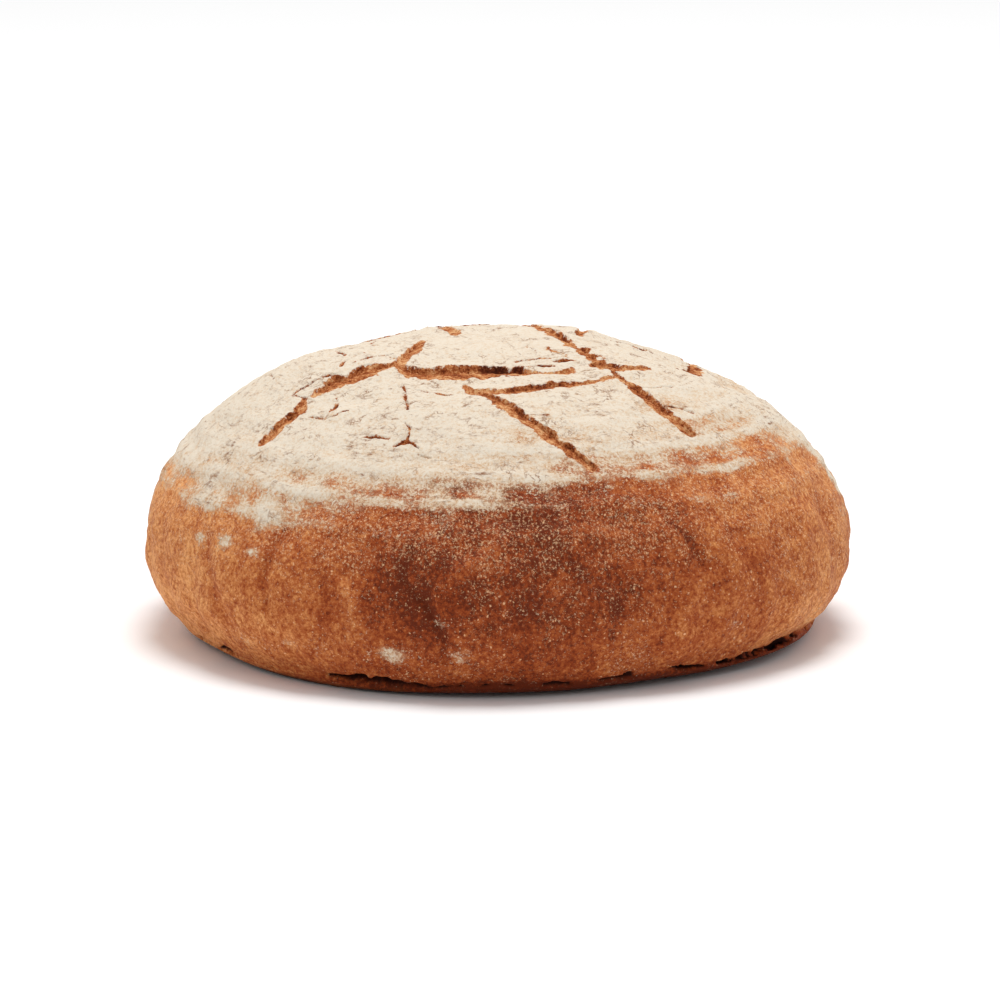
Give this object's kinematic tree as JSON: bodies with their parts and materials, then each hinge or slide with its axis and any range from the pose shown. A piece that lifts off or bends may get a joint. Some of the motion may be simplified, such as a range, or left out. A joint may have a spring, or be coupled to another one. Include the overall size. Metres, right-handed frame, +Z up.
{
  "type": "sourdough loaf",
  "caption": "Round domed sourdough loaf with a flour-dusted crown, crosshatched blade scores, a low belly and a flat sole that it stands on.",
  "frame": {"origin": "middle of the flat sole, on the surface that the loaf rests on", "axes": "+Z up through the crown, +X along the loaf's longest width, and the widest scores open towards -Y"},
  "size_m": [0.24, 0.234, 0.1],
  "materials": {
    "crust": "matte baked bread crust, golden to red brown, dusted with cream flour over the crown"
  },
  "bodies": {
    "root": {"loaf": "crust"}
  },
  "joints": []
}
